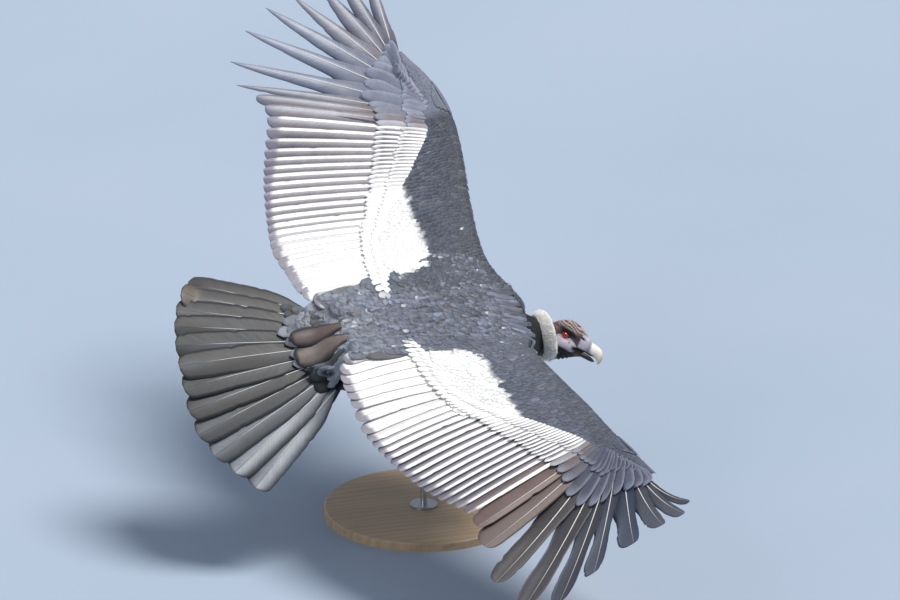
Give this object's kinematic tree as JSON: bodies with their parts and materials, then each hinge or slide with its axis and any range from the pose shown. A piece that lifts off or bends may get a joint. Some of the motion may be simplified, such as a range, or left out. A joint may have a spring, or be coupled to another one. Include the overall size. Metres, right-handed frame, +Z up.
{
  "type": "andean condor",
  "caption": "Life-size still model of an andean condor in flight, banking to its right with wings and tail spread, on a plain round display stand.",
  "frame": {"origin": "centre of the underside of the stand's round base, where the part rests", "axes": "+Z up, +X the way the bird flies, +Y to its left along the wings"},
  "size_m": [1.0633, 2.225, 1.0094],
  "materials": {
    "body_plumage": "glossy slate-black contour feathers with grey edges",
    "wing_plumage": "slate-black small coverts, white long coverts and white-webbed secondaries",
    "flight_feathers": "dark brown-black vanes with a soft sheen and pale shafts",
    "ruff_down": "soft creamy white down",
    "bare_skin": "wrinkled bare skin, brown-pink crown, pale lilac cheek, dark throat",
    "bill_horn": "ivory horn, dark at the base",
    "eye": "wet, red iris round a black pupil",
    "foot_scales": "grey scaly skin",
    "stand_steel": "satin steel",
    "stand_wood": "satin oak"
  },
  "bodies": {
    "root": {"torso": "body_plumage", "neck": "bare_skin", "ruff": "ruff_down", "head": "bare_skin", "bill_upper": "bill_horn", "bill_lower": "bill_horn", "eye_left": "eye", "eye_right": "eye", "wing_left_arm": "wing_plumage", "wing_left_hand": "flight_feathers", "wing_right_arm": "wing_plumage", "wing_right_hand": "flight_feathers", "tail": "flight_feathers", "leg_left": "foot_scales", "leg_right": "foot_scales", "foot_left": "foot_scales", "foot_right": "foot_scales", "stand_rod": "stand_steel", "stand_base": "stand_wood"}
  },
  "joints": []
}
